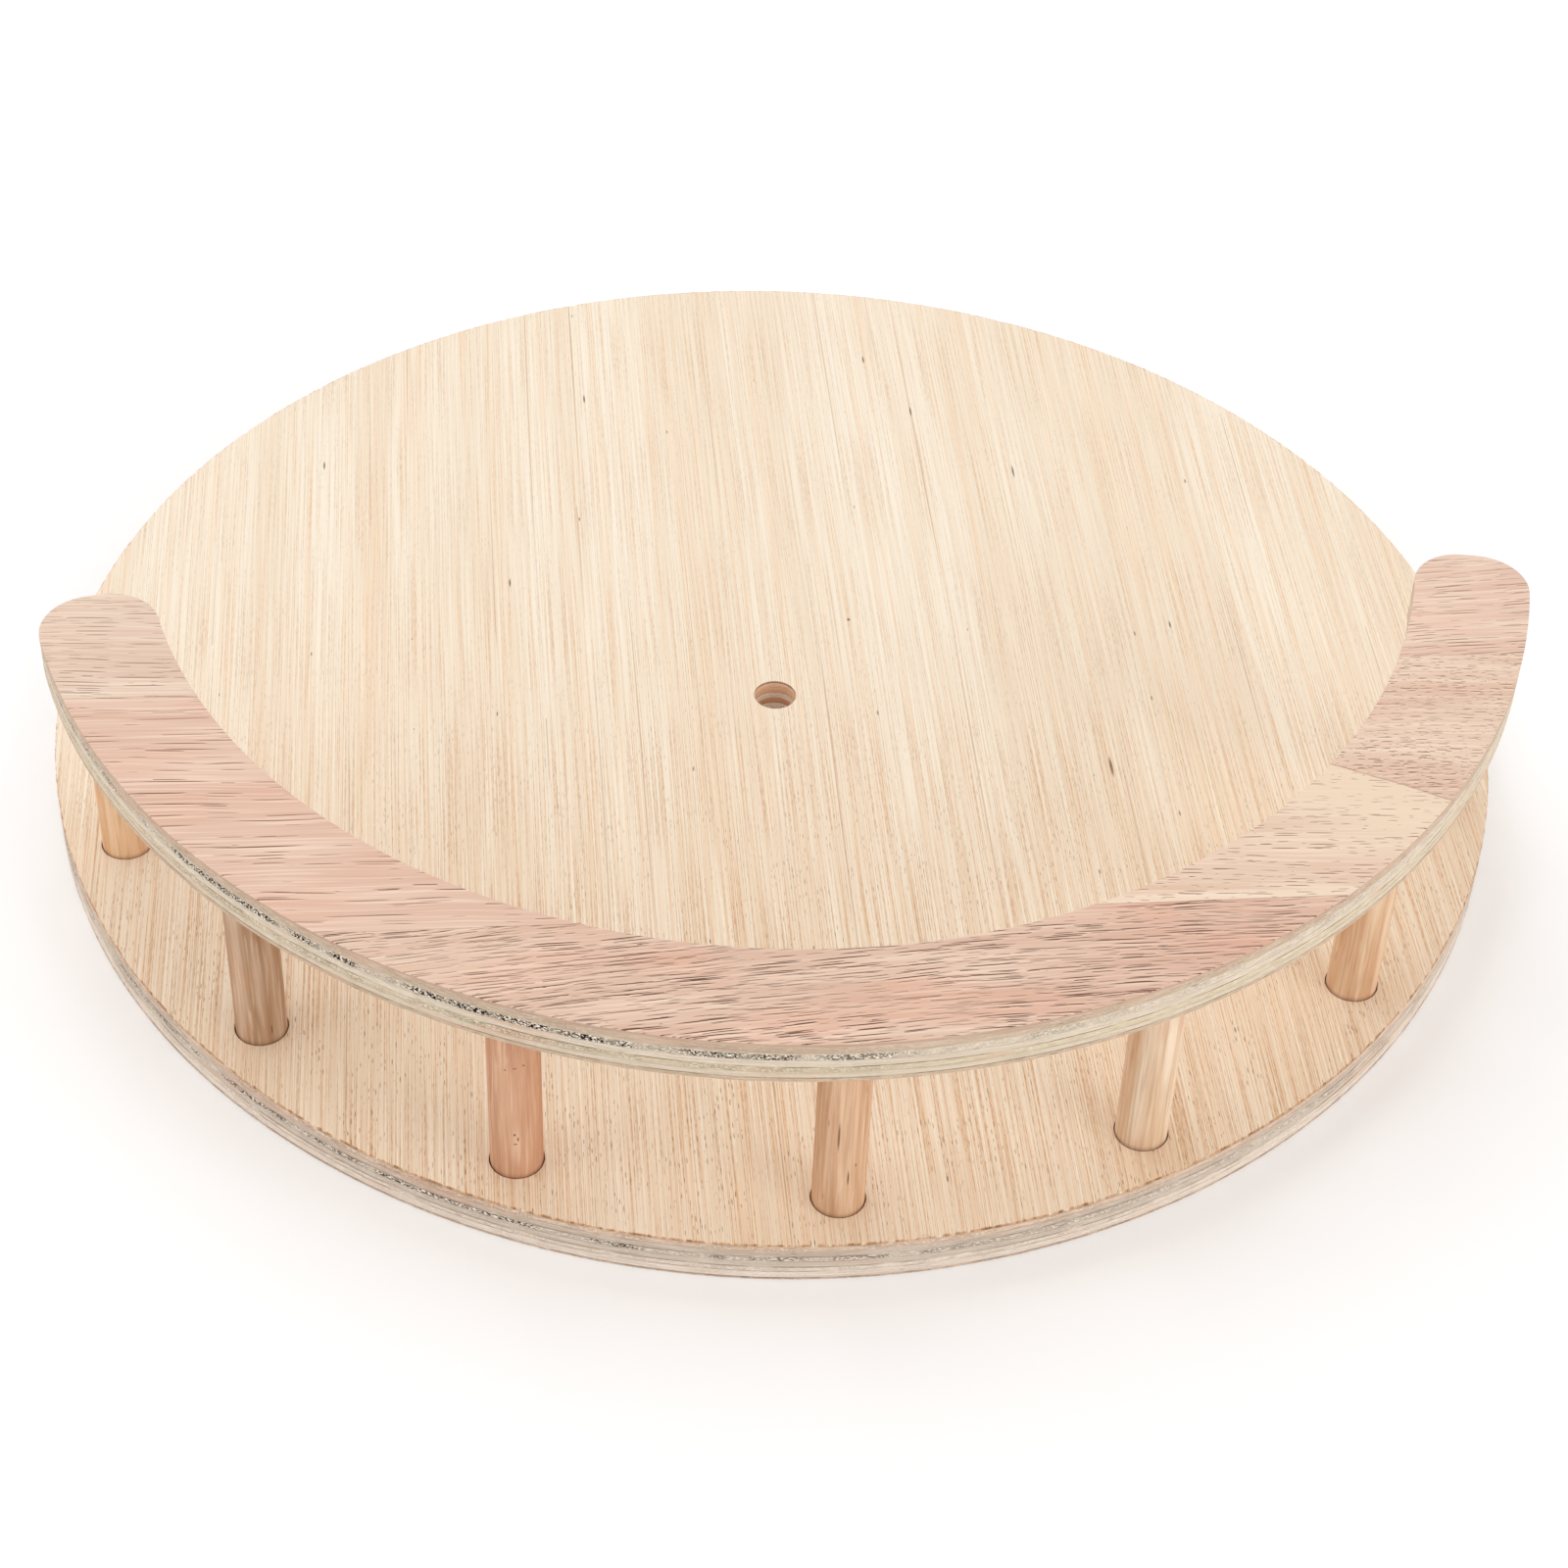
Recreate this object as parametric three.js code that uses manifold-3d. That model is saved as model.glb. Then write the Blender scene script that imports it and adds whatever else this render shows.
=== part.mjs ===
// Round plywood deck with a crescent guard rail carried on a ring of dowels.
// Millimetres, +Z up. The origin is the centre of the deck's underside, and the middle of the
// rail is on -Y, which is the front.
import * as THREE from 'three';
import { mergeVertices } from 'three/addons/utils/BufferGeometryUtils.js';
import Module from 'manifold-3d';

const wasm = await Module();
wasm.setup();

// Deck: a plywood board under a decorative face veneer, with a bolt hole through its centre.
const DECK_RADIUS = 150;
const DECK_BOARD_THICKNESS = 9;
const DECK_VENEER_THICKNESS = 0.5;
const BOLT_HOLE_RADIUS = 4.3;

// Rail: a crescent of plywood under five leaves of hardwood veneer.
const RAIL_OUTER_RADIUS = 149.3;
const RAIL_INNER_RADIUS = 126.6;
const RAIL_HALF_SPAN = THREE.MathUtils.degToRad(80.1);
const RAIL_END_CORNER_RADIUS = 10;
const RAIL_BOARD_THICKNESS = 9;
const RAIL_VENEER_THICKNESS = 0.5;
const RAIL_CLEARANCE = 42.5;

// The rail's veneer is laid in strips along X. These are the two seams' distances in front of
// the centre, and the hairline left between neighbouring leaves.
const FRONT_SEAM = 118.2;
const TIP_SEAM = 54;
const SEAM_GAP = 0.3;

// Dowels: evenly spaced round the rail, glued into blind sockets in the deck and in the rail.
const DOWEL_COUNT = 7;
const DOWEL_RING_RADIUS = 138.7;
const DOWEL_PITCH = THREE.MathUtils.degToRad(24.66);
const DOWEL_RADIUS = 4.9;
const DOWEL_CHAMFER = 0.75;
const SOCKET_RADIUS = 5.15;
const SOCKET_DEPTH = 6;

// Facets in a full circle, or along one arc.
const DECK_FACETS = 160;
const BOLT_HOLE_FACETS = 32;
const DOWEL_FACETS = 24;
const RAIL_ARC_FACETS = 72;
const CORNER_FACETS = 8;

// Heights that follow from the thicknesses.
const DECK_TOP = DECK_BOARD_THICKNESS + DECK_VENEER_THICKNESS;
const RAIL_BOTTOM = DECK_TOP + RAIL_CLEARANCE;
const SOCKET_BOTTOM = DECK_BOARD_THICKNESS - SOCKET_DEPTH;
const DOWEL_LENGTH = RAIL_BOTTOM + SOCKET_DEPTH - SOCKET_BOTTOM;

// How far a cutting tool runs past the surface that it leaves.
const OVERRUN = 1;

const deckPly = new THREE.MeshStandardMaterial({ color: 0xcdbda6, roughness: 0.75, metalness: 0 });
const deckFace = new THREE.MeshStandardMaterial({ color: 0xf6dfbf, roughness: 0.55, metalness: 0 });
const railPly = new THREE.MeshStandardMaterial({ color: 0xd3c6ac, roughness: 0.75, metalness: 0 });
const railFace = new THREE.MeshStandardMaterial({ color: 0xe0b79d, roughness: 0.5, metalness: 0 });
const dowelWood = new THREE.MeshStandardMaterial({ color: 0xe3bb92, roughness: 0.6, metalness: 0 });

// A closed geometry as a solid that can be joined and cut.
function toSolid(geometry) {
  geometry.deleteAttribute('normal');
  geometry.deleteAttribute('uv');
  const merged = mergeVertices(geometry);
  return new wasm.Manifold(new wasm.Mesh({
    numProp: 3,
    vertProperties: new Float32Array(merged.attributes.position.array),
    triVerts: new Uint32Array(merged.index.array),
  }));
}

// A solid as a geometry again.
function toGeometry(solid) {
  const mesh = solid.getMesh();
  const geometry = new THREE.BufferGeometry();
  geometry.setAttribute('position', new THREE.BufferAttribute(mesh.vertProperties, mesh.numProp));
  geometry.setIndex(new THREE.BufferAttribute(mesh.triVerts, 1));
  geometry.computeVertexNormals();
  return geometry;
}

function namedMesh(name, geometry, material) {
  const mesh = new THREE.Mesh(geometry, material);
  mesh.name = name;
  return mesh;
}

// The points of one arc, both ends included. It turns clockwise where end is less than start.
function arc(centre, radius, start, end, facets) {
  const curve = new THREE.EllipseCurve(centre.x, centre.y, radius, radius, start, end, end < start);
  return curve.getPoints(facets);
}

function circle(centre, radius, facets) {
  return arc(centre, radius, 0, 2 * Math.PI, facets).slice(0, facets);
}

function slab(outline, holes, thickness) {
  const shape = new THREE.Shape(outline);
  shape.holes = holes.map((hole) => new THREE.Path(hole));
  return toSolid(new THREE.ExtrudeGeometry(shape, { depth: thickness, bevelEnabled: false }));
}

// A box between two corners.
function block(low, high) {
  const size = new THREE.Vector3().subVectors(high, low);
  const centre = new THREE.Vector3().addVectors(low, high).multiplyScalar(0.5);
  const geometry = new THREE.BoxGeometry(size.x, size.y, size.z);
  return toSolid(geometry.translate(centre.x, centre.y, centre.z));
}

// The dowels' centres, from the one on the left of the rail round to the one on its right.
function dowelCentres() {
  const centres = [];
  for (let i = 0; i < DOWEL_COUNT; i += 1) {
    const angle = (i - (DOWEL_COUNT - 1) / 2) * DOWEL_PITCH;
    centres.push(new THREE.Vector2(Math.sin(angle), -Math.cos(angle)).multiplyScalar(DOWEL_RING_RADIUS));
  }
  return centres;
}

// A socket for a dowel, with its floor or its mouth at each of two heights.
function socketTool(centre, low, high) {
  const geometry = new THREE.CylinderGeometry(SOCKET_RADIUS, SOCKET_RADIUS, high - low, DOWEL_FACETS);
  geometry.rotateX(Math.PI / 2);
  return toSolid(geometry.translate(centre.x, centre.y, (low + high) / 2));
}

function deckBoard() {
  const middle = new THREE.Vector2(0, 0);
  const outline = circle(middle, DECK_RADIUS, DECK_FACETS);
  const boltHole = circle(middle, BOLT_HOLE_RADIUS, BOLT_HOLE_FACETS);
  let board = slab(outline, [boltHole], DECK_BOARD_THICKNESS);
  for (const centre of dowelCentres()) {
    board = board.subtract(socketTool(centre, SOCKET_BOTTOM, DECK_BOARD_THICKNESS + OVERRUN));
  }
  return namedMesh('deck_board', toGeometry(board), deckPly);
}

function deckVeneer() {
  const middle = new THREE.Vector2(0, 0);
  const outline = circle(middle, DECK_RADIUS, DECK_FACETS);
  const holes = dowelCentres().map((centre) => circle(centre, SOCKET_RADIUS, DOWEL_FACETS));
  holes.push(circle(middle, BOLT_HOLE_RADIUS, BOLT_HOLE_FACETS));
  const veneer = slab(outline, holes, DECK_VENEER_THICKNESS);
  const mesh = namedMesh('deck_veneer', toGeometry(veneer), deckFace);
  mesh.position.z = DECK_BOARD_THICKNESS;
  return mesh;
}

// A rod with a chamfer at each end, standing on z = 0.
function dowel(name, centre) {
  const profile = [
    new THREE.Vector2(0, 0),
    new THREE.Vector2(DOWEL_RADIUS - DOWEL_CHAMFER, 0),
    new THREE.Vector2(DOWEL_RADIUS, DOWEL_CHAMFER),
    new THREE.Vector2(DOWEL_RADIUS, DOWEL_LENGTH - DOWEL_CHAMFER),
    new THREE.Vector2(DOWEL_RADIUS - DOWEL_CHAMFER, DOWEL_LENGTH),
    new THREE.Vector2(0, DOWEL_LENGTH),
  ];
  const rod = toSolid(new THREE.LatheGeometry(profile, DOWEL_FACETS).rotateX(Math.PI / 2));
  const mesh = namedMesh(name, toGeometry(rod), dowelWood);
  mesh.position.set(centre.x, centre.y, SOCKET_BOTTOM);
  return mesh;
}

// The crescent seen from above, anticlockwise from the left end of its outer edge. Each end is
// cut along a radius of the deck, and a corner arc touches that cut and the long edge.
function railOutline() {
  const c = RAIL_END_CORNER_RADIUS;
  const front = -Math.PI / 2;
  const middle = new THREE.Vector2(0, 0);
  const outerReach = RAIL_OUTER_RADIUS - c;
  const innerReach = RAIL_INNER_RADIUS + c;
  const outerEnd = RAIL_HALF_SPAN - Math.asin(c / outerReach);
  const innerEnd = RAIL_HALF_SPAN - Math.asin(c / innerReach);
  const right = front + RAIL_HALF_SPAN;
  const left = front - RAIL_HALF_SPAN;
  const corner = (reach, angle, start, end) => {
    const centre = new THREE.Vector2(Math.cos(angle), Math.sin(angle)).multiplyScalar(reach);
    return arc(centre, c, start, end, CORNER_FACETS);
  };
  const stretches = [
    arc(middle, RAIL_OUTER_RADIUS, front - outerEnd, front + outerEnd, RAIL_ARC_FACETS),
    corner(outerReach, front + outerEnd, front + outerEnd, right + Math.PI / 2),
    corner(innerReach, front + innerEnd, right + Math.PI / 2, front + innerEnd + Math.PI),
    arc(middle, RAIL_INNER_RADIUS, front + innerEnd, front - innerEnd, RAIL_ARC_FACETS),
    corner(innerReach, front - innerEnd, front - innerEnd - Math.PI, left - Math.PI / 2),
    corner(outerReach, front - outerEnd, left - Math.PI / 2, front - outerEnd),
  ];
  // Arcs that follow each other share a point, and the first arc shares one with the last.
  return stretches.flatMap((points) => points.slice(1));
}

function railBoard() {
  let board = slab(railOutline(), [], RAIL_BOARD_THICKNESS);
  for (const centre of dowelCentres()) {
    board = board.subtract(socketTool(centre, -OVERRUN, SOCKET_DEPTH));
  }
  return namedMesh('rail_board', toGeometry(board), railPly);
}

// The stretch of the rail's veneer between two seams, on one side of the middle or on both.
// Distances are measured to the front, and a side is -1 for left, 1 for right or 0 for both.
function railLeaf(name, side, near, far) {
  const low = new THREE.Vector3(side > 0 ? 0 : -DECK_RADIUS, -far, -OVERRUN);
  const high = new THREE.Vector3(side < 0 ? 0 : DECK_RADIUS, -near, RAIL_VENEER_THICKNESS + OVERRUN);
  const leaf = slab(railOutline(), [], RAIL_VENEER_THICKNESS).intersect(block(low, high));
  const mesh = namedMesh(name, toGeometry(leaf), railFace);
  mesh.position.z = RAIL_BOARD_THICKNESS;
  return mesh;
}

function rail() {
  const group = new THREE.Group();
  group.add(railBoard());
  group.add(railLeaf('rail_leaf_front', 0, FRONT_SEAM, DECK_RADIUS));
  group.add(railLeaf('rail_leaf_left', -1, TIP_SEAM, FRONT_SEAM - SEAM_GAP));
  group.add(railLeaf('rail_leaf_right', 1, TIP_SEAM, FRONT_SEAM - SEAM_GAP));
  group.add(railLeaf('rail_leaf_left_tip', -1, 0, TIP_SEAM - SEAM_GAP));
  group.add(railLeaf('rail_leaf_right_tip', 1, 0, TIP_SEAM - SEAM_GAP));
  group.position.z = RAIL_BOTTOM;
  return group;
}

const platform = new THREE.Group();
platform.add(deckBoard(), deckVeneer());
dowelCentres().forEach((centre, i) => {
  platform.add(dowel(`dowel_${i + 1}`, centre));
});
platform.add(rail());

export default platform;
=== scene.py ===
"""Round plywood platform with a crescent guard rail on dowels, in bare wood on a pale floor.

The front of the object, the middle of its rail, is towards -Y. Meshes and named lengths are in
metres. The sizes of wood patterns and the tables of looks are in millimetres, and say so.
"""
import math

import bpy
from mathutils import Matrix, Vector, noise
from mathutils.geometry import tessellate_polygon


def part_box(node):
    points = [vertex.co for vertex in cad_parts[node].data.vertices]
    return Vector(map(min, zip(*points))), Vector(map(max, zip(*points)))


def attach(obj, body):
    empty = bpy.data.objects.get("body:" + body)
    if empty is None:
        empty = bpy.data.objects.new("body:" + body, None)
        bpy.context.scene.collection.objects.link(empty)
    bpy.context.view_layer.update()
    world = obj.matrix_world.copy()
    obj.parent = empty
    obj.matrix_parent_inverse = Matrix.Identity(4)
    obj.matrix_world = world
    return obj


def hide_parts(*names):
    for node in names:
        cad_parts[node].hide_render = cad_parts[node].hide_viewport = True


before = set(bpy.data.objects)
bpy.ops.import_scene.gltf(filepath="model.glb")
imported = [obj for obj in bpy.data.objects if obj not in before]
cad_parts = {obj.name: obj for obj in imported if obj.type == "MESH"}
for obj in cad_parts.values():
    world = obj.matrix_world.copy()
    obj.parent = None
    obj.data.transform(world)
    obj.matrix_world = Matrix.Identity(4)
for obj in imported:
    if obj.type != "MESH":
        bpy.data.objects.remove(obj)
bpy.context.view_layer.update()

MM = 0.001
FULL_TURN = 2 * math.pi

# The camera stands in front of the rail, a little to its left, and looks down on the deck.
CAMERA_PLACE = Vector((-0.0584, -0.5372, 0.4807))
CAMERA_HEADING = math.radians(6.49)
CAMERA_DIP = math.radians(42.59)
CAMERA_ROLL = math.radians(2.435)
CAMERA_LENS = 77.71
CAMERA_SENSOR = 36.0


# ---------------------------------------------------------------- sizes taken from the frame

def reach(node):
    """A node's points as distances from the deck's axis."""
    return [math.hypot(v.co.x, v.co.y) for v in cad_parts[node].data.vertices]


def swing(node):
    """A node's points as angles from the front, taken as positive on both sides."""
    return [math.atan2(abs(v.co.x), -v.co.y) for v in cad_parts[node].data.vertices]


DECK_RADIUS = max(reach("deck_board"))
DECK_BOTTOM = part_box("deck_board")[0].z
DECK_PLIES_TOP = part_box("deck_board")[1].z
DECK_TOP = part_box("deck_veneer")[1].z
HOLE_RADIUS = min(reach("deck_board"))
RAIL_OUTER = max(reach("rail_board"))
RAIL_INNER = min(reach("rail_board"))
RAIL_SPAN = max(swing("rail_board"))
RAIL_PLIES_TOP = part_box("rail_board")[1].z
RAIL_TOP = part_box("rail_leaf_front")[1].z
FRONT_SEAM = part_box("rail_leaf_front")[1].y
TIP_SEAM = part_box("rail_leaf_left")[1].y
RAIL_END_CORNER = 10 * MM
SOCKET_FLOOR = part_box("dowel_1")[0].z
SOCKET_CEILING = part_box("dowel_1")[1].z
DOWELS = [f"dowel_{i}" for i in range(1, 8)]
LEAVES = ["rail_leaf_front", "rail_leaf_left", "rail_leaf_right", "rail_leaf_left_tip",
          "rail_leaf_right_tip"]


def middle(node):
    low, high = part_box(node)
    return (low + high) / 2


DOWEL_RADIUS = (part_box("dowel_1")[1].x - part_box("dowel_1")[0].x) / 2
DOWEL_GAP = 0.16 * MM
SOCKET_RADIUS = DOWEL_RADIUS + DOWEL_GAP


# ---------------------------------------------------------------- mesh building

# Saw marks on an edge: the size of one mark, and how much flatter it is than it is long.
MARK_SIZE = 0.6 * MM
MARK_FLATNESS = 3
# Chips are broader than saw marks, and there is one wherever their noise is above a level.
CHIP_BREADTH = 0.45
CHIP_LEVEL = 0.38
SHARP_ANGLE = math.radians(40)
# A face whose normal is this close to upright is a board's flat face.
UPRIGHT = 0.99


def arc(centre, radius, start, end, count):
    """Points along an arc, the last one left out. Angles run anticlockwise from +X."""
    points = []
    for i in range(count):
        angle = start + (end - start) * i / count
        across, along = radius * math.cos(angle), radius * math.sin(angle)
        points.append(Vector((centre[0] + across, centre[1] + along)))
    return points


def outward(loop):
    """The direction out of the wood at each point of a loop that keeps the wood on its left."""
    normals = []
    for i, _ in enumerate(loop):
        along = loop[(i + 1) % len(loop)] - loop[i - 1]
        normals.append(Vector((along.y, -along.x)).normalized())
    return normals


def roughness(point, height, seed, roughness_mm, chip_mm):
    """How deep a point of an edge lies inside the edge's smooth outline."""
    probe = Vector((point.x, point.y, height * MARK_FLATNESS)) / MARK_SIZE + Vector((seed, seed, 0))
    depth = abs(noise.noise(probe)) * roughness_mm
    if chip_mm:
        depth += max(0.0, noise.noise(probe * CHIP_BREADTH) - CHIP_LEVEL) * chip_mm
    return depth * MM


def edge_points(loop, rows, kept, seed, roughness_mm, chip_mm):
    """The points of a loop's edge, row by row."""
    normals = outward(loop)
    if kept:
        normals = [Vector((0, 0)) if keep else normal for keep, normal in zip(kept, normals)]
    points = []
    for height, inset in rows:
        for point, normal in zip(loop, normals):
            depth = inset + roughness(point, height, seed, roughness_mm, chip_mm)
            place = point - normal * depth
            points.append((place.x, place.y, height))
    return points


def edge_faces(start, count, row_count):
    """The faces of a loop's edge, whose points are numbered from start, row by row."""
    faces = []
    for row in range(row_count - 1):
        low, high = start + row * count, start + (row + 1) * count
        for i in range(count):
            j = (i + 1) % count
            faces.append((low + i, low + j, high + j, high + i))
    return faces


def flat_faces(points, rims, up):
    """The flat face between an outer rim and hole rims, which are given as point numbers."""
    flat = [[Vector(points[i]).to_2d().to_3d() for i in rim] for rim in rims]
    numbers = [i for rim in rims for i in rim]
    faces = []
    for triangle in tessellate_polygon(flat):
        corners = [numbers[k] for k in triangle]
        a, b, c = (Vector(points[i]).to_2d() for i in corners)
        turn = (b - a).cross(c - a)
        if turn:
            faces.append(corners if (turn > 0) == up else corners[::-1])
    return faces


def board(name, loops, rows, roughness_mm=0.0, seed=0.0, chip_mm=0.0, kept=None):
    """A closed board with an outer loop and hole loops. Rows are (height, inset), bottom first.

    Chips are on the outer loop only. So is kept, which marks the points that no inset moves.
    """
    points, faces, starts = [], [], []
    for i, loop in enumerate(loops):
        starts.append(len(points))
        outer = i == 0
        points += edge_points(loop, rows, kept if outer else None, seed, roughness_mm,
                              chip_mm if outer else 0.0)
    for loop, start in zip(loops, starts):
        faces += edge_faces(start, len(loop), len(rows))
    for row, up in ((0, False), (len(rows) - 1, True)):
        rims = []
        for loop, start in zip(loops, starts):
            first = start + row * len(loop)
            rims.append(range(first, first + len(loop)))
        faces += flat_faces(points, rims, up)
    return solid(name, points, faces)


def solid(name, vertices, faces):
    """A new object that shades smoothly across its gentle edges, with flat tops and bottoms."""
    mesh = bpy.data.meshes.new(name)
    mesh.from_pydata(vertices, [], faces)
    mesh.shade_smooth()
    mesh.set_sharp_from_angle(angle=SHARP_ANGLE)
    for face in mesh.polygons:
        face.use_smooth = abs(face.normal.z) < UPRIGHT
    mesh.validate()
    piece = bpy.data.objects.new(name, mesh)
    bpy.context.scene.collection.objects.link(piece)
    return piece


def finished(piece, material, slot, *nodes):
    """Gives a piece its material and puts it in the place of the CAD nodes that it stands for."""
    piece.data.materials.append(material)
    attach(piece, "root")
    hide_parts(*nodes)
    return piece


# ---------------------------------------------------------------- materials

# A pattern that should look the same at every height has cells or ellipsoids this tall, in mm.
TALL = 30
ELLIPSOID_TALL = 60


def linear(channel):
    """An sRGB channel from 0 to 1 as linear light."""
    return channel / 12.92 if channel <= 0.04045 else ((channel + 0.055) / 1.055) ** 2.4


def tone(code):
    """A colour from its sRGB hex code."""
    return (*[linear(int(code[i:i + 2], 16) / 255) for i in (0, 2, 4)], 1.0)


class Wood:
    """A wood material, built by calls that take and give node sockets. Pattern sizes are in mm."""

    def __init__(self, name, specular=0.2):
        self.material = bpy.data.materials.new(name)
        self.material.use_nodes = True
        self.tree = self.material.node_tree
        self.shader = self.tree.nodes["Principled BSDF"]
        self.shader.inputs["Specular IOR Level"].default_value = specular
        self.place = self.add("ShaderNodeTexCoord", output="Object")

    def add(self, kind, inputs=None, output=0, **settings):
        node = self.tree.nodes.new(kind)
        for key, setting in settings.items():
            setattr(node, key, setting)
        for key, value in (inputs or {}).items():
            if isinstance(value, bpy.types.NodeSocket):
                self.tree.links.new(value, node.inputs[key])
            else:
                node.inputs[key].default_value = value
        return node.outputs[output]

    def calc(self, operation, a, b=0.0):
        return self.add("ShaderNodeMath", {0: a, 1: b}, operation=operation)

    def times(self, *factors):
        """The product of some sockets and numbers."""
        product = factors[0]
        for factor in factors[1:]:
            product = self.calc("MULTIPLY", product, factor)
        return product

    def most(self, *values):
        """The greatest of some sockets and numbers."""
        greatest = values[0]
        for value in values[1:]:
            greatest = self.calc("MAXIMUM", greatest, value)
        return greatest

    def step(self, value, low, high, start=0.0, end=1.0):
        """Start below low, end above high, and a smooth change between them."""
        ends = {"Value": value, "From Min": low, "From Max": high, "To Min": start, "To Max": end}
        return self.add("ShaderNodeMapRange", ends, interpolation_type="SMOOTHSTEP")

    def blend(self, factor, a, b):
        """A colour between a, at factor 0, and b, at factor 1. Each is a socket or a hex code."""
        a, b = (tone(c) if isinstance(c, str) else c for c in (a, b))
        return self.add("ShaderNodeMix", {0: factor, 6: a, 7: b}, output=2, data_type="RGBA")

    def from_axis(self):
        """The distance of each place from the deck's axis."""
        return self.length(self.vector("MULTIPLY", self.place, (1, 1, 0)))

    def rest(self, share):
        """What a share leaves of one."""
        return self.calc("SUBTRACT", 1.0, share)

    def part(self, share, a, b):
        """A value between a, at share 0, and b, at share 1."""
        return self.calc("ADD", self.times(a, self.rest(share)), self.times(b, share))

    def axis(self, place, name):
        return self.add("ShaderNodeSeparateXYZ", {0: place}, output=name)

    def vector(self, operation, a, b):
        return self.add("ShaderNodeVectorMath", {0: a, 1: b}, operation=operation)

    def length(self, vector):
        return self.add("ShaderNodeVectorMath", {0: vector}, output="Value", operation="LENGTH")

    def cells(self, place, size):
        """Places measured in cells of a size, given along X, Y and Z."""
        return self.vector("MULTIPLY", place, [1 / (s * MM) for s in size])

    def cloud(self, place, size, detail=2.0):
        """Soft noise from 0 to 1 whose blobs have a size."""
        inputs = {"Vector": self.cells(place, size), "Scale": 1.0, "Detail": detail, "Roughness": 0.55}
        return self.add("ShaderNodeTexNoise", inputs)

    def bent(self, place, size, amount):
        """Places pushed about by noise of a size, by up to an amount along X, Y and Z."""
        inputs = {"Vector": self.cells(place, size), "Scale": 1.0, "Detail": 1.0}
        push = self.add("ShaderNodeTexNoise", inputs, output="Color")
        push = self.vector("SUBTRACT", push, (0.5, 0.5, 0.5))
        push = self.vector("MULTIPLY", push, [2 * a * MM for a in amount])
        return self.vector("ADD", place, push)

    def shifted(self, place, amount):
        """Places moved by an amount, so that a pattern appears moved the other way."""
        return self.vector("ADD", place, [a * MM for a in amount])

    def turned(self, place, degrees):
        """Places turned about the deck's axis, so that a pattern along X rises by this angle."""
        inputs = {"Vector": place, "Angle": math.radians(-degrees)}
        return self.add("ShaderNodeVectorRotate", inputs, rotation_type="Z_AXIS")

    def specks(self, place, cell, half, share=1.0, edge=0.5):
        """Ellipsoids of a half size, one in each irregular cell. A share of the cells has one."""
        spread = self.cells(place, cell)
        voronoi = self.tree.nodes.new("ShaderNodeTexVoronoi")
        self.tree.links.new(spread, voronoi.inputs["Vector"])
        voronoi.inputs["Scale"].default_value = 1.0
        off = self.vector("SUBTRACT", spread, voronoi.outputs["Position"])
        off = self.vector("MULTIPLY", off, [c / h for c, h in zip(cell, half)])
        chance = self.axis(voronoi.outputs["Color"], "X")
        size = self.step(chance, 0.0, share, 1.0, 0.35)
        inside = self.step(self.calc("DIVIDE", self.length(off), size), edge, 1.0, 1.0, 0.0)
        return self.times(inside, self.calc("LESS_THAN", chance, share))

    def spot(self, centre, half, edge=0.3):
        """One soft ellipsoid with a centre and a half size in mm."""
        off = self.vector("SUBTRACT", self.place, [c * MM for c in centre])
        return self.step(self.length(self.cells(off, half)), edge, 1.0, 1.0, 0.0)

    def finish(self, colour, height, depth_mm, rough=(0.5, 0.65), rough_by=None):
        """Connects the colour, the relief, and a roughness that falls as rough_by rises."""
        bump = {"Height": height, "Strength": 1.0, "Distance": depth_mm * MM}
        links = self.tree.links
        links.new(colour, self.shader.inputs["Base Color"])
        links.new(self.add("ShaderNodeBump", bump), self.shader.inputs["Normal"])
        shine = self.step(rough_by if rough_by else height, 0.0, 1.0, rough[1], rough[0])
        links.new(shine, self.shader.inputs["Roughness"])
        return self.material


# Dark marks in the deck's face: the centre along X and Y, then half the size along X and Y, in mm.
DECK_MARKS = [(18, 24, 0.5, 0.6), (68, -26, 0.4, 4.2), (61, 75, 0.3, 3.0), (-55, 40, 0.3, 2.0),
              (-36, 107, 0.3, 2.2), (31, 120, 0.3, 2.0), (40, 99, 0.3, 2.4), (88, 19, 0.3, 1.6),
              (-96, 84, 0.3, 2.0)]


# The deck's wood is scorched, and then dark, where its distance from the axis plus some ragged
# noise is more than the deck's radius by this much.
RAGGED = 1.0 * MM
SCORCH_START, SCORCH_FULL = 0.25 * MM, 0.45 * MM
DARK_START, DARK_FULL = 0.45 * MM, 0.6 * MM
HOLE_RING = 0.25 * MM


def deck_rim(wood, colour):
    """Scorches the deck's rim and darkens the edge of its bolt hole."""
    radius = wood.from_axis()
    ragged = wood.cloud(wood.place, (1.2, 2.4, 5), 4)
    rim = wood.calc("ADD", radius, wood.times(ragged, RAGGED))
    scorch = wood.step(rim, DECK_RADIUS + SCORCH_START, DECK_RADIUS + SCORCH_FULL, 0.0, 0.75)
    colour = wood.blend(scorch, colour, "c08853")
    dark = wood.step(rim, DECK_RADIUS + DARK_START, DECK_RADIUS + DARK_FULL, 0.0, 0.7)
    colour = wood.blend(dark, colour, "6d4527")
    ring = wood.step(radius, HOLE_RADIUS, HOLE_RADIUS + HOLE_RING, 0.8, 0.0)
    return wood.blend(ring, colour, "8a5a3c")


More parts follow.
